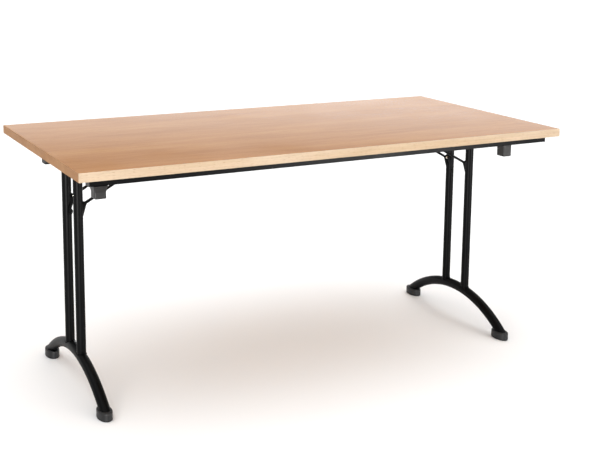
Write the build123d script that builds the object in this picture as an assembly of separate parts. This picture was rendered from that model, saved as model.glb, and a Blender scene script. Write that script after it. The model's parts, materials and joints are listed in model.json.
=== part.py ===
from build123d import *
import math
import os

# Rectangular folding table, in millimetres.
# Origin: on the floor, under the middle of the top. +X runs along the length, +Y to the rear, +Z up.
# Each end has a swing leg: two posts welded between a pivot tube and an arched foot tube.

# ---- driving dimensions ------------------------------------------------------------------
TOP_LENGTH = 1600.0
TOP_DEPTH = 800.0
TOP_THICKNESS = 25.0
HEIGHT = 740.0
LAMINATE = 0.8
EDGE_BAND = 2.0

RAIL_INSET = 28.0
RAIL_WIDTH = 30.0
RAIL_HEIGHT = 20.0
RAIL_WALL = 1.5
RAIL_CORNER = 1.2
RAIL_HALF_LENGTH = 763.0
RAIL_CAP = 2.0
RAIL_PLUG_DEPTH = 12.0
CROSS_MEMBER_X = 737.0

LEG_X = 700.0
PIVOT_Z = 690.0
PIVOT_TUBE_R = 15.0
PIVOT_TUBE_WALL = 2.0
PIVOT_HALF_LENGTH = 104.0
PLUG_FLANGE = 2.0
PLUG_LIP = 1.0
PLUG_ROUNDING = 1.2
PLUG_STEM = 14.0
PLUG_GAP = 0.1
POST_Y = 56.4
POST_R = 14.0
POST_WALL = 1.5
POST_SINK = 7.5
ARCH_R = 442.0
ARCH_CROWN_Z = 112.0
ARCH_TUBE_R = 16.0
ARCH_TUBE_WALL = 2.0
ARCH_HALF_ANGLE = 43.0

FOOT_Y = 263.5
FOOT_HALF_X = 21.0
FOOT_HALF_Y = 37.0
FOOT_HEIGHT = 25.0
FOOT_WALL = 3.0
FOOT_SOLE = 5.0
FOOT_ROUNDING = 4.0
SOLE_ROUNDING = 1.5

STAY_PIN_OFFSET = 19.5
STAY_PIN_Z = 573.0
STAY_ANGLE = 29.0
STAY_R = 4.0
STAY_EYE_R = 5.0
STAY_EYE_WIDTH = 4.0
STAY_PIN_FLAT = 46.0
STAY_ROD_FLAT = 13.0
STAY_FLAT_LAP = 3.0
STAY_CHAMFER = 1.2
LUG_STEEL = 2.5
LUG_SIDE_GAP = 0.3
LUG_DROP = 38.0
PIN_R = 3.0
PIN_HEAD = 1.5
RUNNING_GAP = 0.05
ROD_Z = 709.5
ROD_HALF_LENGTH = 72.0
ROLLER_WIDTH = 8.0

BUFFER_BOTTOM = 659.0
BUFFER_LENGTH = 32.0
BUFFER_DEPTH = 36.0
BUFFER_FLARE_LENGTH = 40.0
BUFFER_FLARE_DEPTH = 48.0
BUFFER_FLARE_HEIGHT = 18.0
BUFFER_CORNER = 4.0
BUFFER_FLARE_CORNER = 5.0
BUFFER_ROUNDING = 2.5

SCREW_R = 2.0
SCREW_PILOT_R = 1.7
SCREW_CLEARANCE_R = 2.3
SCREW_HEAD_R = 4.0
SCREW_HEAD_HEIGHT = 2.5
SCREW_BITE = 16.0
SCREW_ROUNDING = 1.0
RECESS_SPAN = 4.4
RECESS_WIDTH = 1.0
RECESS_DEPTH = 1.2

# ---- places worked out from them ---------------------------------------------------------
UNDERSIDE = HEIGHT - TOP_THICKNESS
RAIL_BOTTOM = UNDERSIDE - RAIL_HEIGHT
RAIL_Y = TOP_DEPTH / 2 - RAIL_INSET - RAIL_WIDTH / 2
RAIL_INNER_Y = RAIL_Y - RAIL_WIDTH / 2
ARCH_CENTRE_Z = ARCH_CROWN_Z - ARCH_R
STAY_PIN_X = LEG_X - STAY_PIN_OFFSET
STAY_LENGTH = (ROD_Z - STAY_PIN_Z) / math.sin(math.radians(STAY_ANGLE))
ROD_X = STAY_PIN_X - STAY_LENGTH * math.cos(math.radians(STAY_ANGLE))

RAIL_SCREW_X = [-660.0, -370.0, -110.0, 110.0, 370.0, 660.0]
CROSS_SCREW_Y = [-230.0, 230.0]

BRACKET_Y = 88.0
BRACKET_WIDTH = 24.0
BRACKET_STEEL = 2.5
BRACKET_INNER_X = 640.0
BRACKET_CORNER = 5.0
BRACKET_SCREW_X = [650.0, 668.0]
BUSH_WALL = 1.95
STRAP_R = PIVOT_TUBE_R + RUNNING_GAP + BUSH_WALL

GUIDE_Y = 73.5
GUIDE_STEEL = 2.0
GUIDE_FLANGE = 20.0
GUIDE_DEPTH = 17.0
GUIDE_CORNER = 4.0
GUIDE_INNER_X = 292.0
GUIDE_OUTER_X = 442.5
GUIDE_LIP = 9.5
GUIDE_LIP_DEPTH = 9.0
GUIDE_SCREW_X = [315.0, 420.0]

HOOK_Y = 40.0
HOOK_STEEL = 3.0
HOOK_STUD_X = 697.0
HOOK_STUD_Z = 528.0
HOOK_OUTER_R = 10.0
HOOK_INNER_R = 5.5
STUD_R = 2.5

# Stacking buffers: name, x, y, flared top, screw x, screw y, seat height.
BUFFERS = [
    ("buffer_front_left", -733.0, -352.0, True, -733.0, -RAIL_Y, RAIL_BOTTOM),
    ("buffer_rear_left", -729.0, 141.0, True, -CROSS_MEMBER_X, 141.0, RAIL_BOTTOM),
    ("buffer_front_right", 612.0, -354.0, False, 612.0, -RAIL_Y, RAIL_BOTTOM),
    ("buffer_rear_right", 612.0, 141.0, False, 612.0, 141.0, UNDERSIDE),
]
BUFFER_COUNTERBORE_TOP = BUFFER_BOTTOM + 22.0

parts = {}


# ---- helpers -----------------------------------------------------------------------------
def block(x0, x1, y0, y1, z0, z1):
    """A box between two corners."""
    centre = ((x0 + x1) / 2, (y0 + y1) / 2, (z0 + z1) / 2)
    return Pos(*centre) * Box(x1 - x0, y1 - y0, z1 - z0)


def upright(x, y, z0, z1, radius):
    """A round bar along Z."""
    return Pos(x, y, (z0 + z1) / 2) * Cylinder(radius, z1 - z0)


def crosswise(x, z, y0, y1, radius):
    """A round bar along Y."""
    return Pos(x, (y0 + y1) / 2, z) * Rot(90, 0, 0) * Cylinder(radius, y1 - y0)


def side_plate(outline, y, thickness):
    """A plate from an outline drawn in X and Z, centred on a plane of constant Y."""
    plane = Plane(origin=(0, y, 0), x_dir=(1, 0, 0), z_dir=(0, -1, 0))
    return extrude(plane * outline, amount=thickness / 2, both=True)


def group(solids):
    """Separate solids kept in one node."""
    return Compound(children=[piece for shape in solids for piece in shape.solids()])


def on_side(shape, side):
    """The right-hand piece, or its mirror image for the left end."""
    return shape if side == "right" else mirror(shape, about=Plane.YZ)


def screw(x, y, seat_z, tip_z):
    """A pan-head wood screw driven upwards, with its head under seat_z."""
    shank = upright(x, y, seat_z, tip_z - SCREW_R, SCREW_R)
    tip = Pos(x, y, tip_z - SCREW_R / 2) * Cone(SCREW_R, SCREW_R * 0.2, SCREW_R)
    head = upright(x, y, seat_z - SCREW_HEAD_HEIGHT, seat_z, SCREW_HEAD_R)
    head = fillet(head.edges().group_by(Axis.Z)[0], SCREW_ROUNDING)
    slot = Box(RECESS_SPAN, RECESS_WIDTH, 2 * RECESS_DEPTH)
    cross = Pos(x, y, seat_z - SCREW_HEAD_HEIGHT) * (slot + Rot(0, 0, 90) * slot)
    return head + shank + tip - cross


# ---- screw places ------------------------------------------------------------------------
rail_screws = [(x, s * RAIL_Y) for x in RAIL_SCREW_X for s in (-1, 1)]
rail_screws += [(s * CROSS_MEMBER_X, y) for s in (-1, 1) for y in CROSS_SCREW_Y]
bracket_screws = [
    (s * x, t * BRACKET_Y) for s in (-1, 1) for t in (-1, 1) for x in BRACKET_SCREW_X
]
guide_screw_y = GUIDE_Y + GUIDE_STEEL + GUIDE_FLANGE / 2
guide_screws = [
    (s * x, t * guide_screw_y) for s in (-1, 1) for t in (-1, 1) for x in GUIDE_SCREW_X
]
board_buffer = BUFFERS[3]
board_screws = rail_screws + bracket_screws + guide_screws + [(board_buffer[4], board_buffer[5])]


# ---- table top ---------------------------------------------------------------------------
def make_top():
    """Chipboard core, face and backing laminates, and a hard edge band on each side."""
    x = TOP_LENGTH / 2
    y = TOP_DEPTH / 2
    core_x = x - EDGE_BAND
    core_y = y - EDGE_BAND
    core = block(-core_x, core_x, -core_y, core_y, UNDERSIDE + LAMINATE, HEIGHT - LAMINATE)
    backing = block(-core_x, core_x, -core_y, core_y, UNDERSIDE, UNDERSIDE + LAMINATE)
    pilot_top = UNDERSIDE + SCREW_BITE + 1.0
    pilots = [upright(px, py, UNDERSIDE - 1, pilot_top, SCREW_PILOT_R) for px, py in board_screws]
    openings = [
        upright(px, py, UNDERSIDE - 1, UNDERSIDE + 2, SCREW_CLEARANCE_R) for px, py in board_screws
    ]
    parts["top_core"] = core - pilots
    parts["backing_laminate"] = backing - openings
    parts["top_laminate"] = block(-core_x, core_x, -core_y, core_y, HEIGHT - LAMINATE, HEIGHT)
    bands = {
        "edge_band_front": (-x, x, -y, -core_y),
        "edge_band_rear": (-x, x, core_y, y),
        "edge_band_left": (-x, -core_x, -core_y, core_y),
        "edge_band_right": (core_x, x, -core_y, core_y),
    }
    for name, (x0, x1, y0, y1) in bands.items():
        parts[name] = block(x0, x1, y0, y1, UNDERSIDE, HEIGHT)


# ---- underframe --------------------------------------------------------------------------
def make_underframe():
    """Two long rails, a cross member at each end, plugs in the rail ends, and screws."""
    access_r = SCREW_HEAD_R + 1.0
    head_seat = UNDERSIDE - RAIL_WALL
    drillings = []
    for x, y in rail_screws:
        drillings.append(upright(x, y, RAIL_BOTTOM - 1, head_seat - 1, access_r))
        drillings.append(upright(x, y, head_seat - 2, UNDERSIDE + 1, SCREW_CLEARANCE_R))
    for _, _, _, _, x, y, seat in BUFFERS:
        if seat == RAIL_BOTTOM:
            drillings.append(upright(x, y, RAIL_BOTTOM - 1, RAIL_BOTTOM + 3, SCREW_PILOT_R))
    half_w = RAIL_WIDTH / 2
    bore_w = half_w - RAIL_WALL
    for name, y in (("rail_front", -RAIL_Y), ("rail_rear", RAIL_Y)):
        tube = block(-RAIL_HALF_LENGTH, RAIL_HALF_LENGTH, y - half_w, y + half_w, RAIL_BOTTOM, UNDERSIDE)
        tube = fillet(tube.edges().filter_by(Axis.X), RAIL_CORNER)
        bore = block(-RAIL_HALF_LENGTH, RAIL_HALF_LENGTH, y - bore_w, y + bore_w,
                     RAIL_BOTTOM + RAIL_WALL, UNDERSIDE - RAIL_WALL)
        parts[name] = tube - bore - drillings
    for name, x in (("cross_member_left", -CROSS_MEMBER_X), ("cross_member_right", CROSS_MEMBER_X)):
        tube = block(x - half_w, x + half_w, -RAIL_INNER_Y, RAIL_INNER_Y, RAIL_BOTTOM, UNDERSIDE)
        tube = fillet(tube.edges().filter_by(Axis.Y), RAIL_CORNER)
        bore = block(x - bore_w, x + bore_w, -RAIL_INNER_Y, RAIL_INNER_Y,
                     RAIL_BOTTOM + RAIL_WALL, UNDERSIDE - RAIL_WALL)
        parts[name] = tube - bore - drillings
    caps = []
    for s in (-1, 1):
        for y in (-RAIL_Y, RAIL_Y):
            mouth = s * RAIL_HALF_LENGTH
            face_x = sorted((mouth, mouth + s * RAIL_CAP))
            plug_x = sorted((mouth, mouth - s * RAIL_PLUG_DEPTH))
            face = block(*face_x, y - half_w, y + half_w, RAIL_BOTTOM, UNDERSIDE)
            face = fillet(face.edges().filter_by(Axis.X), RAIL_CORNER)
            plug = block(*plug_x, y - bore_w + PLUG_GAP, y + bore_w - PLUG_GAP,
                         RAIL_BOTTOM + RAIL_WALL + PLUG_GAP, UNDERSIDE - RAIL_WALL - PLUG_GAP)
            caps.append(face + plug)
    parts["rail_caps"] = group(caps)
    parts["frame_screws"] = group(
        [screw(x, y, head_seat, UNDERSIDE + SCREW_BITE) for x, y in rail_screws]
    )


# ---- stacking buffers --------------------------------------------------------------------
def rounded_block(x, y, length, depth, z0, z1, corner):
    """An upright block with rounded vertical corners."""
    return extrude(Plane.XY.offset(z0) * Pos(x, y) * RectangleRounded(length, depth, corner), z1 - z0)


def make_buffers():
    """Moulded blocks under the frame that keep stacked tables apart."""
    screws = []
    for name, x, y, flared, screw_x, screw_y, seat in BUFFERS:
        body = rounded_block(x, y, BUFFER_LENGTH, BUFFER_DEPTH, BUFFER_BOTTOM, seat, BUFFER_CORNER)
        body = fillet(body.edges().group_by(Axis.Z)[0], BUFFER_ROUNDING)
        if flared:
            low = Plane.XY.offset(seat - BUFFER_FLARE_HEIGHT) * Pos(x, y)
            high = Plane.XY.offset(seat) * Pos(x, y)
            flare = RectangleRounded(BUFFER_FLARE_LENGTH, BUFFER_FLARE_DEPTH, BUFFER_FLARE_CORNER)
            skirt = loft([low * RectangleRounded(BUFFER_LENGTH, BUFFER_DEPTH, BUFFER_CORNER), high * flare])
            body = body + skirt
        shelf = BUFFER_COUNTERBORE_TOP
        body -= upright(screw_x, screw_y, BUFFER_BOTTOM - 1, shelf, SCREW_HEAD_R + 1.5)
        body -= upright(screw_x, screw_y, shelf - 1, seat + 1, SCREW_CLEARANCE_R)
        parts[name] = body
        screws.append(screw(screw_x, screw_y, shelf, seat + SCREW_BITE))
    parts["buffer_screws"] = group(screws)


# ---- leg hinge brackets ------------------------------------------------------------------
def hinge_bracket(y):
    """A pressed bracket: a flat plate under the board and a strap round the pivot tube."""
    y0 = y - BRACKET_WIDTH / 2
    y1 = y + BRACKET_WIDTH / 2
    outer = STRAP_R + BRACKET_STEEL
    plate_bottom = UNDERSIDE - BRACKET_STEEL
    strap = block(LEG_X - outer, LEG_X + outer, y0, y1, PIVOT_Z, plate_bottom)
    strap += crosswise(LEG_X, PIVOT_Z, y0, y1, outer)
    strap -= block(LEG_X - STRAP_R, LEG_X + STRAP_R, y0, y1, PIVOT_Z, plate_bottom)
    strap -= crosswise(LEG_X, PIVOT_Z, y0, y1, STRAP_R)
    plate = block(BRACKET_INNER_X, LEG_X + outer, y0, y1, plate_bottom, UNDERSIDE)
    plate = fillet(plate.edges().filter_by(Axis.Z).group_by(Axis.X)[0], BRACKET_CORNER)
    holes = [
        upright(x, y, plate_bottom - 1, UNDERSIDE + 1, SCREW_CLEARANCE_R) for x in BRACKET_SCREW_X
    ]
    return strap + plate - holes


def make_hinges():
    """Brackets, their nylon bushes and screws."""
    for side in ("left", "right"):
        bushes = []
        for place, y in (("front", -BRACKET_Y), ("rear", BRACKET_Y)):
            parts[f"hinge_bracket_{side}_{place}"] = on_side(hinge_bracket(y), side)
            y0 = y - BRACKET_WIDTH / 2
            y1 = y + BRACKET_WIDTH / 2
            ring = crosswise(LEG_X, PIVOT_Z, y0, y1, STRAP_R)
            ring -= crosswise(LEG_X, PIVOT_Z, y0, y1, PIVOT_TUBE_R + RUNNING_GAP)
            bushes.append(on_side(ring, side))
        parts[f"pivot_bushes_{side}"] = group(bushes)
    plate_bottom = UNDERSIDE - BRACKET_STEEL
    parts["bracket_screws"] = group(
        [screw(x, y, plate_bottom, UNDERSIDE + SCREW_BITE) for x, y in bracket_screws]
    )


# ---- stay guides -------------------------------------------------------------------------
def stay_guide(s):
    """An angle strip beside the path of the cross rod, with a lip at each end."""
    inner = GUIDE_Y
    outer = GUIDE_Y + GUIDE_STEEL
    tip = outer + GUIDE_FLANGE
    wall = block(GUIDE_INNER_X, GUIDE_OUTER_X, inner, outer, UNDERSIDE - GUIDE_DEPTH, UNDERSIDE)
    flange = block(GUIDE_INNER_X, GUIDE_OUTER_X, inner, tip, UNDERSIDE - GUIDE_STEEL, UNDERSIDE)
    flange = fillet(flange.edges().filter_by(Axis.Z).group_by(Axis.Y)[-1], GUIDE_CORNER)
    shape = wall + flange
    for x0 in (GUIDE_INNER_X, GUIDE_OUTER_X - GUIDE_STEEL):
        shape += block(x0, x0 + GUIDE_STEEL, inner - GUIDE_LIP, inner,
                       UNDERSIDE - GUIDE_LIP_DEPTH, UNDERSIDE)
    for x in GUIDE_SCREW_X:
        shape -= upright(x, guide_screw_y, UNDERSIDE - 4, UNDERSIDE + 1, SCREW_CLEARANCE_R)
    return shape if s > 0 else mirror(shape, about=Plane.XZ)


def make_guides():
    """Two guide strips for each leg, screwed to the underside."""
    for side in ("left", "right"):
        parts[f"stay_guides_{side}"] = group([on_side(stay_guide(s), side) for s in (-1, 1)])
    seat = UNDERSIDE - GUIDE_STEEL
    parts["guide_screws"] = group(
        [screw(x, y, seat, UNDERSIDE + SCREW_BITE) for x, y in guide_screws]
    )


# ---- legs --------------------------------------------------------------------------------
def arch_bar(radius):
    """A solid round bar bent along the arch of the foot."""
    start = math.radians(-ARCH_HALF_ANGLE)
    origin = (LEG_X, ARCH_R * math.sin(start), ARCH_CENTRE_Z + ARCH_R * math.cos(start))
    section = Plane(origin=origin, x_dir=(1, 0, 0), z_dir=(0, math.cos(start), -math.sin(start)))
    bend = Axis((LEG_X, 0, ARCH_CENTRE_Z), (-1, 0, 0))
    return revolve(section * Circle(radius), axis=bend, revolution_arc=2 * ARCH_HALF_ANGLE)


def foot_oval(y, margin, z0, z1):
    """The oval plan of a foot, shrunk by a margin, between two heights."""
    plan = Ellipse(FOOT_HALF_X - margin, FOOT_HALF_Y - margin)
    return extrude(Plane.XY.offset(z0) * Pos(LEG_X, y) * plan, z1 - z0)


def arch_trim():
    """The space that the arch tube may fill: above the feet, and a socket inside each foot."""
    space = block(LEG_X - 50, LEG_X + 50, -400, 400, FOOT_HEIGHT, 200)
    for y in (-FOOT_Y, FOOT_Y):
        space += foot_oval(y, FOOT_WALL, FOOT_SOLE, FOOT_HEIGHT)
    return space


def foot_cap(y, tube_end):
    """A moulded oval cap that the end of the arch tube stands in."""
    cap = foot_oval(y, 0, 0, FOOT_HEIGHT)
    cap = fillet(cap.edges().group_by(Axis.Z)[-1], FOOT_ROUNDING)
    cap = fillet(cap.edges().group_by(Axis.Z)[0], SOLE_ROUNDING)
    return cap - tube_end


def lug_outline():
    """Tapered ear welded along the post, round at the pin."""
    post_face = LEG_X - POST_R
    tip_r = 4.8
    foot_z = STAY_PIN_Z - LUG_DROP
    outline = Polygon(
        (post_face + 6, STAY_PIN_Z + 11), (STAY_PIN_X, STAY_PIN_Z + tip_r),
        (STAY_PIN_X - tip_r + 0.2, STAY_PIN_Z - 1.5), (post_face + 0.8, foot_z),
        (post_face + 6, foot_z), align=None,
    )
    return outline + Pos(STAY_PIN_X, STAY_PIN_Z) * Circle(tip_r)


def stay_lugs(y, post):
    """Two ears, one on each side of the stay's eye."""
    ears = []
    offset = STAY_EYE_WIDTH / 2 + LUG_SIDE_GAP + LUG_STEEL / 2
    for t in (-1, 1):
        plate = side_plate(lug_outline(), y + t * offset, LUG_STEEL)
        hole = crosswise(STAY_PIN_X, STAY_PIN_Z, y - 10, y + 10, PIN_R)
        ears.append(plate - post - hole)
    return ears


def lug_pin(y_inner, y_outer):
    """The pin that the stay turns on, riveted over at both ends."""
    pin = crosswise(STAY_PIN_X, STAY_PIN_Z, y_inner, y_outer, PIN_R)
    head_r = PIN_R + PIN_HEAD
    pin += crosswise(STAY_PIN_X, STAY_PIN_Z, y_inner, y_inner + PIN_HEAD, head_r)
    pin += crosswise(STAY_PIN_X, STAY_PIN_Z, y_outer - PIN_HEAD, y_outer, head_r)
    return pin


def tube_plug(s):
    """A plastic plug in the end of the pivot tube, with a rounded flange."""
    end = PIVOT_HALF_LENGTH
    flange = crosswise(LEG_X, PIVOT_Z, end, end + PLUG_FLANGE, PIVOT_TUBE_R + PLUG_LIP)
    flange = fillet(flange.edges().group_by(Axis.Y)[-1], PLUG_ROUNDING)
    stem = crosswise(LEG_X, PIVOT_Z, end - PLUG_STEM, end, PIVOT_TUBE_R - PIVOT_TUBE_WALL - PLUG_GAP)
    plug = flange + stem
    return plug if s > 0 else mirror(plug, about=Plane.XZ)


def lock_spring():
    """The coil of the torsion spring round the rear lug pin."""
    wire_r = 0.6
    coil_r = 4.2
    pitch = 1.6
    turns = 4.5
    coil = Helix(pitch=pitch, height=pitch * turns, radius=coil_r)
    section = Plane(origin=coil @ 0, z_dir=coil % 0) * Circle(wire_r)
    spring = sweep(section, path=coil, is_frenet=True)
    return Pos(STAY_PIN_X, HOOK_Y + 2.6, STAY_PIN_Z) * Rot(-90, 0, 0) * spring


def make_leg(side):
    """One swing leg with everything that is welded or fixed to it."""
    outer_arch = arch_bar(ARCH_TUBE_R)
    trimmed_arch = outer_arch & arch_trim()
    pivot = crosswise(LEG_X, PIVOT_Z, -PIVOT_HALF_LENGTH, PIVOT_HALF_LENGTH, PIVOT_TUBE_R)
    bore = crosswise(LEG_X, PIVOT_Z, -PIVOT_HALF_LENGTH, PIVOT_HALF_LENGTH,
                     PIVOT_TUBE_R - PIVOT_TUBE_WALL)
    pieces = {
        "pivot_tube": pivot - bore,
        "arch_tube": trimmed_arch - arch_bar(ARCH_TUBE_R - ARCH_TUBE_WALL),
        "foot_cap_front": foot_cap(-FOOT_Y, trimmed_arch),
        "foot_cap_rear": foot_cap(FOOT_Y, trimmed_arch),
        "tube_plugs": group([tube_plug(-1), tube_plug(1)]),
    }
    lugs = []
    for place, y in (("front", -POST_Y), ("rear", POST_Y)):
        post = upright(LEG_X, y, ARCH_CROWN_Z - POST_SINK, PIVOT_Z, POST_R)
        post_bore = upright(LEG_X, y, ARCH_CROWN_Z - POST_SINK, PIVOT_Z, POST_R - POST_WALL)
        pieces[f"post_{place}"] = post - post_bore - outer_arch - pivot
        lugs += stay_lugs(y, post)
    ear_reach = STAY_EYE_WIDTH / 2 + LUG_SIDE_GAP + LUG_STEEL + PIN_HEAD + 0.1
    pieces["stay_lugs"] = group(lugs)
    pieces["lug_pins"] = group([
        lug_pin(-POST_Y - ear_reach, -POST_Y + ear_reach),
        lug_pin(HOOK_Y - HOOK_STEEL / 2 - PIN_HEAD - 0.4, POST_Y + ear_reach),
    ])
    rear_post = upright(LEG_X, POST_Y, STAY_PIN_Z - 100, STAY_PIN_Z, POST_R)
    stud = crosswise(HOOK_STUD_X, HOOK_STUD_Z, HOOK_Y - 4, HOOK_Y + 5, STUD_R) - rear_post
    stud = stud.solids().sort_by(Axis.Y)[0]
    pieces["lock_stud"] = stud
    pieces["lock_spring"] = lock_spring()
    for name, shape in pieces.items():
        parts[f"{side}_{name}"] = on_side(shape, side)


# ---- stays and lock hooks ----------------------------------------------------------------
def stay(y):
    """A round bar flattened between the lugs and round the cross rod, with an eye at each end."""
    pin = Vector(STAY_PIN_X, y, STAY_PIN_Z)
    rod = Vector(ROD_X, y, ROD_Z)
    along = (rod - pin).normalized()
    bar_start = STAY_PIN_FLAT - STAY_FLAT_LAP
    bar_length = STAY_LENGTH - STAY_PIN_FLAT - STAY_ROD_FLAT + 2 * STAY_FLAT_LAP
    shape = extrude(Plane(origin=pin + along * bar_start, z_dir=along) * Circle(STAY_R), bar_length)
    shape = chamfer(shape.edges().filter_by(GeomType.CIRCLE), STAY_CHAMFER)
    half = STAY_EYE_WIDTH / 2
    for centre, way, flat in ((pin, along, STAY_PIN_FLAT), (rod, along * -1, STAY_ROD_FLAT)):
        strip = Plane(origin=centre, x_dir=(0, 1, 0), z_dir=way)
        shape += extrude(strip * Rectangle(STAY_EYE_WIDTH, 2 * STAY_R), flat)
        shape += crosswise(centre.X, centre.Z, y - half, y + half, STAY_EYE_R)
    shape -= crosswise(pin.X, pin.Z, y - 2 * half, y + 2 * half, PIN_R + RUNNING_GAP)
    shape -= crosswise(rod.X, rod.Z, y - 2 * half, y + 2 * half, PIN_R)
    return shape


def lock_hook():
    """A flat lever on the rear lug pin, ending in a hook round the stud on the post."""
    arm_end = (HOOK_STUD_X - 2.5, HOOK_STUD_Z + 13.0)
    dx = arm_end[0] - STAY_PIN_X
    dz = arm_end[1] - STAY_PIN_Z
    tilt = math.degrees(math.atan2(dz, dx))
    middle = Pos((STAY_PIN_X + arm_end[0]) / 2, (STAY_PIN_Z + arm_end[1]) / 2)
    outline = middle * Rot(0, 0, tilt) * Rectangle(math.hypot(dx, dz), 7.0)
    outline += Pos(*arm_end) * Circle(3.5)
    outline += Pos(STAY_PIN_X, STAY_PIN_Z) * Circle(STAY_EYE_R)
    at_stud = Pos(HOOK_STUD_X, HOOK_STUD_Z)
    outline += at_stud * Circle(HOOK_OUTER_R)
    outline -= at_stud * Circle(HOOK_INNER_R)
    reach = 2 * HOOK_OUTER_R
    mouth_low = math.radians(-32)
    mouth_high = math.radians(78)
    mouth = Polygon(
        (0, 0), (reach * math.cos(mouth_low), reach * math.sin(mouth_low)), (reach, reach),
        (reach * math.cos(mouth_high), reach * math.sin(mouth_high)), align=None,
    )
    outline -= at_stud * mouth
    plate = side_plate(outline, HOOK_Y, HOOK_STEEL)
    plate -= crosswise(STAY_PIN_X, STAY_PIN_Z, HOOK_Y - 5, HOOK_Y + 5, PIN_R + RUNNING_GAP)
    return plate


def make_stays(side):
    """The pair of stays, their cross rod and rollers, and the lock hook of one leg."""
    parts[f"{side}_stay_front"] = on_side(stay(-POST_Y), side)
    parts[f"{side}_stay_rear"] = on_side(stay(POST_Y), side)
    rod = crosswise(ROD_X, ROD_Z, -ROD_HALF_LENGTH, ROD_HALF_LENGTH, PIN_R)
    parts[f"{side}_cross_rod"] = on_side(rod, side)
    rollers = []
    for y0 in (-ROD_HALF_LENGTH, ROD_HALF_LENGTH - ROLLER_WIDTH):
        roller = crosswise(ROD_X, ROD_Z, y0, y0 + ROLLER_WIDTH, STAY_EYE_R)
        roller -= crosswise(ROD_X, ROD_Z, y0, y0 + ROLLER_WIDTH, PIN_R + RUNNING_GAP)
        rollers.append(on_side(roller, side))
    parts[f"{side}_stay_rollers"] = group(rollers)
    parts[f"{side}_lock_hook"] = on_side(lock_hook(), side)


make_top()
make_underframe()
make_buffers()
make_hinges()
make_guides()
for end in ("left", "right"):
    make_leg(end)
    make_stays(end)

os.makedirs("parts", exist_ok=True)
for node, shape in parts.items():
    export_step(shape, f"parts/{node}.step")
print(len(parts), "nodes, stay length", round(STAY_LENGTH, 2), "rod x", round(ROD_X, 2))
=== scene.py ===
import json
import math

import bmesh
import bpy
from mathutils import Matrix, Vector


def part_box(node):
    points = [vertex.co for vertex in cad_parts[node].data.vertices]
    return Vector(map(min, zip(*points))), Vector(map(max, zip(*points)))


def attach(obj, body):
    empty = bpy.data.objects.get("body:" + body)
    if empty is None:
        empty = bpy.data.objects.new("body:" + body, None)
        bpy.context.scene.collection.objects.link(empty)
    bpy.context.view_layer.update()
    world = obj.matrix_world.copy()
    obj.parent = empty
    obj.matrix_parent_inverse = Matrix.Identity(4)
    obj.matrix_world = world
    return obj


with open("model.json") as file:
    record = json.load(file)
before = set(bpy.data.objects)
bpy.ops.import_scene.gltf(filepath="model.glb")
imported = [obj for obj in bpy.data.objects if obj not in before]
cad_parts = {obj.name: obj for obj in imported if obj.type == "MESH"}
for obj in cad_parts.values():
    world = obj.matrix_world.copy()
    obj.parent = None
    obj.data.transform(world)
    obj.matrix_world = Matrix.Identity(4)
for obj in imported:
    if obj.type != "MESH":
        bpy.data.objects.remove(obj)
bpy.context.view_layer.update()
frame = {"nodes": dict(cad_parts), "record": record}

nodes = frame["nodes"]

# ---- small helpers -----------------------------------------------------------------------


def srgb(r, g, b):
    """A colour given as screen values from 0 to 255, as linear numbers with alpha."""
    def linear(c):
        c = c / 255
        return c / 12.92 if c <= 0.04045 else ((c + 0.055) / 1.055) ** 2.4
    return (linear(r), linear(g), linear(b), 1.0)


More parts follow.
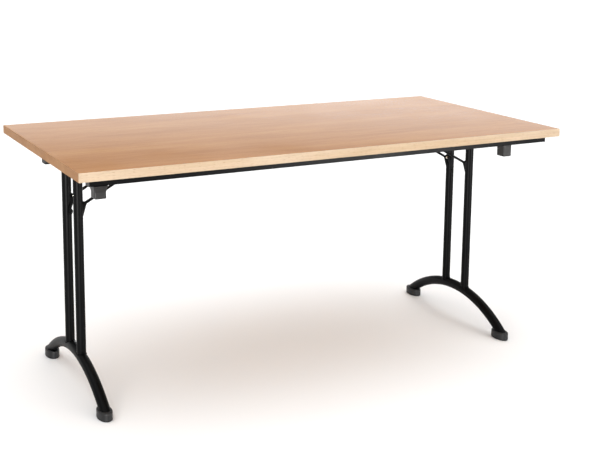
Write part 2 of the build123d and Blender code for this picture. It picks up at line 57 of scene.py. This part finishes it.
class Nodes:
    """A short way of writing a material's node tree."""

    def __init__(self, name):
        self.material = bpy.data.materials.new(name)
        self.material.use_nodes = True
        self.tree = self.material.node_tree
        self.shader = self.tree.nodes["Principled BSDF"]
        self.coords = self.tree.nodes.new("ShaderNodeTexCoord").outputs["Object"]

    def link(self, source, target):
        self.tree.links.new(source, target)

    def place(self, scale=(1, 1, 1), turn=(0, 0, 0), offset=(0, 0, 0)):
        """Object coordinates, turned and scaled."""
        node = self.tree.nodes.new("ShaderNodeMapping")
        node.inputs["Location"].default_value = offset
        node.inputs["Rotation"].default_value = turn
        node.inputs["Scale"].default_value = scale
        self.link(self.coords, node.inputs["Vector"])
        return node.outputs["Vector"]

    def noise(self, vector, scale, detail=4.0, roughness=0.5, distortion=0.0):
        node = self.tree.nodes.new("ShaderNodeTexNoise")
        node.inputs["Scale"].default_value = scale
        node.inputs["Detail"].default_value = detail
        node.inputs["Roughness"].default_value = roughness
        node.inputs["Distortion"].default_value = distortion
        self.link(vector, node.inputs["Vector"])
        return node.outputs["Fac"]

    def cells(self, vector, scale, feature="F1"):
        node = self.tree.nodes.new("ShaderNodeTexVoronoi")
        node.feature = feature
        node.inputs["Scale"].default_value = scale
        self.link(vector, node.inputs["Vector"])
        return node.outputs["Distance"]

    def ramp(self, value, stops):
        """stops is a list of (position, colour)."""
        node = self.tree.nodes.new("ShaderNodeValToRGB")
        band = node.color_ramp
        while len(band.elements) < len(stops):
            band.elements.new(0.5)
        for element, (position, colour) in zip(band.elements, stops):
            element.position = position
            element.color = colour
        self.link(value, node.inputs["Fac"])
        return node.outputs["Color"]

    def spread(self, value, low, high, from_low=0.0, from_high=1.0):
        """A value from one range to another."""
        node = self.tree.nodes.new("ShaderNodeMapRange")
        for key, number in (("From Min", from_low), ("From Max", from_high),
                            ("To Min", low), ("To Max", high)):
            node.inputs[key].default_value = number
        self.link(value, node.inputs["Value"])
        return node.outputs["Result"]

    def maths(self, kind, a, b):
        node = self.tree.nodes.new("ShaderNodeMath")
        node.operation = kind
        for place, item in enumerate((a, b)):
            if isinstance(item, (int, float)):
                node.inputs[place].default_value = item
            else:
                self.link(item, node.inputs[place])
        return node.outputs["Value"]

    def mix(self, factor, a, b, blend="MIX"):
        node = self.tree.nodes.new("ShaderNodeMix")
        node.data_type = "RGBA"
        node.blend_type = blend
        for key, item in (("Factor", factor), ("A", a), ("B", b)):
            sockets = [s for s in node.inputs if s.name == key and s.enabled]
            if isinstance(item, (int, float, tuple)):
                sockets[0].default_value = item
            else:
                self.link(item, sockets[0])
        return [s for s in node.outputs if s.enabled][0]

    def bump(self, height, strength, distance):
        node = self.tree.nodes.new("ShaderNodeBump")
        node.inputs["Strength"].default_value = strength
        node.inputs["Distance"].default_value = distance
        self.link(height, node.inputs["Height"])
        self.link(node.outputs["Normal"], self.shader.inputs["Normal"])

    def colour(self, source):
        self.link(source, self.shader.inputs["Base Color"])

    def rough(self, source):
        self.link(source, self.shader.inputs["Roughness"])

    def fixed(self, **values):
        """Values that are the same all over, set on the shader's own sockets."""
        for key, value in values.items():
            self.shader.inputs[key.replace("_", " ")].default_value = value


# ---- materials ---------------------------------------------------------------------------


def beech(name, light, middle, dark, gloss, ior=1.38, grain_axis="X"):
    """Beech-pattern foil: long soft figure, and the short dark flecks of the rays along the grain."""
    n = Nodes(name)
    turn = (0, 0, 0) if grain_axis == "X" else (0, 0, math.pi / 2)
    long_way = n.place(scale=(1.1, 9.0, 9.0), turn=turn)
    broad = n.noise(long_way, 1.6, 5.0, 0.55, 0.35)
    fine_way = n.place(scale=(9.0, 190.0, 190.0), turn=turn)
    fibres = n.noise(fine_way, 1.0, 4.0, 0.6)
    fleck_way = n.place(scale=(70.0, 760.0, 760.0), turn=turn)
    flecks = n.noise(fleck_way, 1.0, 1.0, 0.4)
    fleck_mask = n.spread(flecks, 0.0, 0.5, 0.60, 0.74)
    figure = n.ramp(broad, [(0.30, dark), (0.50, middle), (0.72, light)])
    fibre_tone = n.ramp(fibres, [(0.25, srgb(206, 196, 186)), (0.7, srgb(255, 255, 255))])
    toned = n.mix(0.45, figure, fibre_tone, "MULTIPLY")
    fleck_tone = srgb(150, 98, 60)
    n.colour(n.mix(fleck_mask, toned, fleck_tone))
    smudge = n.noise(n.place(scale=(2.0, 2.0, 2.0)), 2.4, 3.0)
    n.rough(n.spread(smudge, gloss - 0.03, gloss + 0.05, 0.3, 0.7))
    relief = n.maths("ADD", n.maths("MULTIPLY", fibres, 0.5), n.maths("MULTIPLY", flecks, 0.5))
    n.bump(relief, 0.10, 0.00012)
    n.fixed(IOR=ior)
    return n.material


def chipboard():
    """Raw pressed chips, seen only inside the screw holes."""
    n = Nodes("chipboard")
    chips = n.cells(n.place(scale=(1.0, 1.0, 1.6)), 320.0)
    shade = n.noise(n.place(), 160.0, 3.0)
    base = n.ramp(chips, [(0.1, srgb(120, 88, 55)), (0.5, srgb(190, 150, 105)), (0.9, srgb(214, 182, 138))])
    n.colour(n.mix(n.spread(shade, 0.0, 0.5), base, srgb(150, 110, 70)))
    n.rough(n.spread(shade, 0.75, 0.95))
    n.bump(chips, 0.5, 0.0005)
    return n.material


def powder_coat():
    """Black powder coat: fine orange peel, faint rubbed patches and a little dust."""
    n = Nodes("black_powder_coat")
    peel = n.noise(n.place(), 900.0, 2.0, 0.5)
    patches = n.noise(n.place(), 14.0, 4.0, 0.6)
    scuffs = n.noise(n.place(scale=(30.0, 30.0, 260.0), turn=(0.3, 0.2, 0)), 1.0, 3.0, 0.7)
    base = n.ramp(patches, [(0.3, (0.0016, 0.0016, 0.0018, 1)), (0.7, (0.0034, 0.0034, 0.0038, 1))])
    scuff_mask = n.spread(scuffs, 0.0, 0.10, 0.68, 0.85)
    n.colour(n.mix(scuff_mask, base, (0.03, 0.03, 0.032, 1)))
    n.rough(n.spread(patches, 0.33, 0.42, 0.3, 0.7))
    n.bump(peel, 0.14, 0.00016)
    n.fixed(IOR=1.15)
    return n.material


def moulded_plastic(name, dark, light, rough_low, rough_high):
    """Moulded plastic with a fine spark-eroded texture and faint wear."""
    n = Nodes(name)
    texture = n.cells(n.place(), 1500.0)
    blotches = n.noise(n.place(), 45.0, 4.0, 0.6)
    n.colour(n.ramp(blotches, [(0.3, dark), (0.75, light)]))
    n.rough(n.spread(blotches, rough_low, rough_high, 0.3, 0.7))
    n.bump(texture, 0.22, 0.00015)
    n.fixed(IOR=1.36)
    return n.material


def zinc():
    """Zinc-plated steel with turning marks and a faint warm passivation."""
    n = Nodes("zinc_plate")
    marks = n.noise(n.place(scale=(400.0, 400.0, 90.0)), 3.0, 3.0, 0.6)
    tint = n.noise(n.place(), 90.0, 3.0)
    n.colour(n.ramp(tint, [(0.3, srgb(188, 186, 178)), (0.7, srgb(214, 210, 196))]))
    n.rough(n.spread(marks, 0.22, 0.42))
    n.bump(marks, 0.12, 0.0001)
    n.fixed(Metallic=1.0)
    return n.material


laminate = beech("beech_laminate", srgb(200, 144, 84), srgb(192, 134, 76), srgb(182, 124, 68), 0.11)
backing = beech("beech_backing", srgb(222, 186, 146), srgb(214, 174, 132), srgb(202, 158, 116), 0.5)
edge_long = beech("beech_edge_long", srgb(223, 201, 174), srgb(217, 192, 163), srgb(209, 181, 147), 0.45, 1.2)
# The end bands are the same edging as the long bands. Their darker colour is painted shade of the side faces,
# which turn away from the light. Only their grain running along Y is their own.
shaded_edge_end = beech("beech_edge_end_painted_shade", srgb(172, 126, 80), srgb(164, 117, 71), srgb(155, 108, 62), 0.45, 1.2, "Y")
black_steel = powder_coat()
black_plastic = moulded_plastic(
    "black_moulded", (0.009, 0.009, 0.0095, 1), (0.018, 0.018, 0.019, 1), 0.42, 0.56)
buffer_plastic = moulded_plastic(
    "buffer_moulded", (0.009, 0.008, 0.0075, 1), (0.018, 0.016, 0.015, 1), 0.44, 0.60)
nylon = moulded_plastic("natural_nylon", srgb(205, 202, 190), srgb(222, 220, 208), 0.35, 0.5)
zinc_plate = zinc()
raw_board = chipboard()

FINISHES = {
    "beech_laminate": laminate,
    "backing_laminate": backing,
    "chipboard": raw_board,
    "edge_band": edge_long,
    "black_steel": black_steel,
    "black_plastic": black_plastic,
    "nylon": nylon,
    "zinc_steel": zinc_plate,
}


def dress(obj, material):
    """One material over the whole object."""
    obj.data.materials.clear()
    obj.data.materials.append(material)


for entry in frame["record"]["subparts"]:
    name = entry["node"]
    finish = FINISHES[entry["material_slot"]]
    # The end bands get the darker copy of the edging, which carries painted shade of the side faces.
    if name in ("edge_band_left", "edge_band_right"):
        finish = shaded_edge_end
    if name.startswith("buffer_") and name != "buffer_screws":
        finish = buffer_plastic
    dress(nodes[name], finish)

# ---- edges and welds ---------------------------------------------------------------------


def soften(obj, width, segments=2):
    """A small rounding on the sharp edges of a CAD piece."""
    bevel = obj.modifiers.new("arris", "BEVEL")
    bevel.width = width
    bevel.segments = segments
    bevel.limit_method = "ANGLE"
    bevel.angle_limit = math.radians(40)
    bevel.harden_normals = True


BAND_ARRIS = 0.0006
STEEL_ARRIS = 0.0003
for name in nodes:
    if name.startswith("edge_band"):
        soften(nodes[name], BAND_ARRIS)
    elif name.startswith("hinge_bracket") or name.endswith(("stay_lugs", "lock_hook")):
        soften(nodes[name], STEEL_ARRIS)


def tube_mesh(name, points, radius, closed, sides=10, ripple=0.0, ripples=0):
    """A tube round a chain of points. ripple is the height of its scallops, as a share of radius."""
    count = len(points)
    mesh = bmesh.new()
    rings = []
    for i, point in enumerate(points):
        after = points[(i + 1) % count] if closed or i + 1 < count else point
        before = points[i - 1] if closed or i > 0 else point
        along = (after - before).normalized()
        aside = along.cross(Vector((0, 0, 1)))
        if aside.length < 0.05:
            aside = along.cross(Vector((1, 0, 0)))
        aside.normalize()
        above = aside.cross(along)
        swell = 1 + ripple * abs(math.sin(math.pi * ripples * i / count)) if ripples else 1.0
        ring = []
        for k in range(sides):
            angle = 2 * math.pi * k / sides
            offset = (math.cos(angle) * aside + math.sin(angle) * above) * radius * swell
            ring.append(mesh.verts.new(point + offset))
        rings.append(ring)
    for i in range(count if closed else count - 1):
        here, there = rings[i], rings[(i + 1) % count]
        for k in range(sides):
            j = (k + 1) % sides
            mesh.faces.new((here[k], here[j], there[j], there[k]))
    if not closed:
        mesh.faces.new(rings[0])
        mesh.faces.new(list(reversed(rings[-1])))
    bmesh.ops.recalc_face_normals(mesh, faces=mesh.faces)
    data = bpy.data.meshes.new(name)
    mesh.to_mesh(data)
    mesh.free()
    for face in data.polygons:
        face.use_smooth = True
    obj = bpy.data.objects.new(name, data)
    bpy.context.collection.objects.link(obj)
    return obj


BEAD_SIDES = 8
BEAD_RIPPLE = 0.35
POST_BEAD_RADIUS = 0.0015
POST_BEAD_OUTSET = 0.0004
POST_BEAD_STEPS = 96
POST_BEAD_RIPPLES = 26
LUG_BEAD_RADIUS = 0.0012
LUG_BEAD_STEPS = 40
LUG_BEAD_RIPPLES = 14
ARCH_RADIUS = 0.442
EAR_OUTER_FACE = 0.0049
LUG_WELD_MARGIN = 0.006


def finish_bead(bead, body):
    """A weld bead's material, and the leg it moves with."""
    dress(bead, black_steel)
    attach(bead, body)


def weld_round_post(name, body, post, surface_z, sign):
    """A weld bead where a post meets the bent or straight tube above or below it."""
    lo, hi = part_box(post)
    x0, y0 = (lo.x + hi.x) / 2, (lo.y + hi.y) / 2
    r = (hi.x - lo.x) / 2
    points = []
    reach = r + POST_BEAD_OUTSET
    for i in range(POST_BEAD_STEPS):
        a = 2 * math.pi * i / POST_BEAD_STEPS
        dx, dy = reach * math.cos(a), reach * math.sin(a)
        z = surface_z(dx, y0 + dy) + sign * POST_BEAD_OUTSET
        points.append(Vector((x0 + dx, y0 + dy, z)))
    bead = tube_mesh(name, points, POST_BEAD_RADIUS, True, BEAD_SIDES, BEAD_RIPPLE, POST_BEAD_RIPPLES)
    finish_bead(bead, body)


def make_welds(side):
    """The beads at both ends of each post."""
    leg = f"{side}_leg"
    arch_low, arch_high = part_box(f"{side}_arch_tube")
    tube_r = (arch_high.x - arch_low.x) / 2
    crown = arch_high.z - tube_r
    pivot_low, pivot_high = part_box(f"{side}_pivot_tube")
    pivot_r = (pivot_high.x - pivot_low.x) / 2
    pivot_z = (pivot_low.z + pivot_high.z) / 2
    centre_z = crown - ARCH_RADIUS

    def on_arch(dx, y):
        reach = ARCH_RADIUS + math.sqrt(max(tube_r ** 2 - dx ** 2, 0))
        return centre_z + math.sqrt(reach ** 2 - y ** 2)

    def under_pivot(dx, y):
        return pivot_z - math.sqrt(max(pivot_r ** 2 - dx ** 2, 0))

    for place in ("front", "rear"):
        post = f"{side}_post_{place}"
        weld_round_post(f"{side}_foot_weld_{place}", leg, post, on_arch, 1)
        weld_round_post(f"{side}_pivot_weld_{place}", leg, post, under_pivot, -1)


def make_lug_welds(side):
    """An upright bead on the outside of each ear, where the lug meets its post."""
    low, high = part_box(f"{side}_stay_lugs")
    inward = -1 if low.x > 0 else 1
    for place in ("front", "rear"):
        post_low, post_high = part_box(f"{side}_post_{place}")
        x0, y0 = (post_low.x + post_high.x) / 2, (post_low.y + post_high.y) / 2
        r = (post_high.x - post_low.x) / 2
        for ear, way in (("near", -1), ("far", 1)):
            dy = way * EAR_OUTER_FACE
            x = x0 + inward * math.sqrt(r ** 2 - dy ** 2)
            reach = high.z - low.z - 2 * LUG_WELD_MARGIN
            points = [Vector((x, y0 + dy, low.z + LUG_WELD_MARGIN + reach * i / LUG_BEAD_STEPS))
                      for i in range(LUG_BEAD_STEPS + 1)]
            bead = tube_mesh(f"{side}_lug_weld_{place}_{ear}", points, LUG_BEAD_RADIUS, False,
                             BEAD_SIDES, BEAD_RIPPLE, LUG_BEAD_RIPPLES)
            finish_bead(bead, f"{side}_leg")


for side in ("left", "right"):
    make_welds(side)
    make_lug_welds(side)

# ---- stage -------------------------------------------------------------------------------


FLOOR_HALF_SIZE = 60.0
FLOOR_GAP = 0.0006


def make_floor():
    """A large flat pale floor, a hair below the feet."""
    mesh = bpy.data.meshes.new("floor")
    size, z = FLOOR_HALF_SIZE, -FLOOR_GAP
    corners = [(-size, -size, z), (size, -size, z), (size, size, z), (-size, size, z)]
    mesh.from_pydata(corners, [], [(0, 1, 2, 3)])
    floor = bpy.data.objects.new("floor", mesh)
    bpy.context.collection.objects.link(floor)
    n = Nodes("pale_floor")
    cloud = n.noise(n.place(), 0.8, 3.0)
    n.colour(n.ramp(cloud, [(0.3, srgb(247, 247, 247)), (0.7, srgb(251, 251, 251))]))
    n.rough(n.spread(cloud, 0.85, 0.95))
    dress(floor, n.material)


def area_light(name, at, aim, size, power, gloss_only=False):
    """A soft rectangular light. It lights surfaces, or with gloss_only shows in reflections alone."""
    data = bpy.data.lights.new(name, "AREA")
    data.shape = "RECTANGLE"
    data.size, data.size_y = size
    data.energy = power
    light = bpy.data.objects.new(name, data)
    light.visible_diffuse = not gloss_only
    light.visible_glossy = gloss_only
    light.location = at
    light.rotation_euler = (Vector(aim) - Vector(at)).to_track_quat("-Z", "Y").to_euler()
    bpy.context.collection.objects.link(light)


def make_lights():
    """A pale sky, two softboxes at the front, and two low strips that show only as highlights."""
    world = bpy.data.worlds.new("studio")
    bpy.context.scene.world = world
    world.use_nodes = True
    tree = world.node_tree
    place = tree.nodes.new("ShaderNodeTexCoord")
    parts = tree.nodes.new("ShaderNodeSeparateXYZ")
    height = tree.nodes.new("ShaderNodeFloatCurve")
    curve = height.mapping.curves[0]
    curve.points[0].location = SKY[0]
    curve.points[1].location = SKY[-1]
    for sine_and_light in SKY[1:-1]:
        curve.points.new(*sine_and_light)
    for point in curve.points:
        point.handle_type = "VECTOR"
    height.mapping.use_clip = True
    height.mapping.update()
    strength = tree.nodes.new("ShaderNodeMath")
    strength.operation = "MULTIPLY"
    strength.inputs[1].default_value = SKY_STRENGTH
    tree.links.new(place.outputs["Generated"], parts.inputs["Vector"])
    tree.links.new(parts.outputs["Z"], height.inputs["Value"])
    tree.links.new(height.outputs["Value"], strength.inputs[0])
    tree.links.new(strength.outputs["Value"], tree.nodes["Background"].inputs["Strength"])
    tree.nodes["Background"].inputs["Color"].default_value = (1, 1, 1, 1)
    area_light("key", (-2.6, -2.9, 0.8), (0, 0, 0.45), (0.5, 1.5), 22)
    area_light("fill", (1.6, -3.6, 0.8), (0.3, 0, 0.45), (0.5, 1.5), 12)
    area_light("left_strip", (-2.5, -2.7, 0.36), (0, 0, 0.36), (0.20, 0.64), 154, True)
    area_light("right_strip", (1.9, -3.3, 0.36), (0, 0, 0.36), (0.20, 0.64), 96, True)


# The sky's light by the sine of the height above the horizon.
SKY = ((0.0, 0.60), (0.145, 0.60), (0.20, 0.06), (0.42, 0.08), (0.60, 0.45), (1.0, 1.0))
SKY_STRENGTH = 2.4
CAMERA_AT = (-1.6257, -3.1321, 1.3576)
CAMERA_YAW = math.radians(28.9321)
CAMERA_PITCH = math.radians(9.8099)
CAMERA_ROLL = math.radians(0.7857)
CAMERA_LENS = 66.843
CAMERA_SHIFT = (-0.02182, -0.16667)


def make_camera():
    """A camera at the front left, above the top, shifted down so that uprights stay upright."""
    data = bpy.data.cameras.new("camera")
    data.sensor_width = 36.0
    data.lens = CAMERA_LENS
    data.shift_x, data.shift_y = CAMERA_SHIFT
    data.clip_start, data.clip_end = 0.05, 200.0
    camera = bpy.data.objects.new("camera", data)
    bpy.context.collection.objects.link(camera)
    cy, sy = math.cos(CAMERA_YAW), math.sin(CAMERA_YAW)
    cp, sp = math.cos(CAMERA_PITCH), math.sin(CAMERA_PITCH)
    forward = Vector((sy * cp, cy * cp, -sp))
    right = Vector((cy, -sy, 0))
    up = right.cross(forward)
    cr, sr = math.cos(CAMERA_ROLL), math.sin(CAMERA_ROLL)
    tilted_right = cr * right + sr * up
    tilted_up = -sr * right + cr * up
    turn = Matrix((tilted_right, tilted_up, -forward)).transposed()
    camera.matrix_world = Matrix.Translation(CAMERA_AT) @ turn.to_4x4()
    bpy.context.scene.camera = camera


make_floor()
make_lights()
make_camera()
bpy.context.scene.view_settings.view_transform = "Standard"
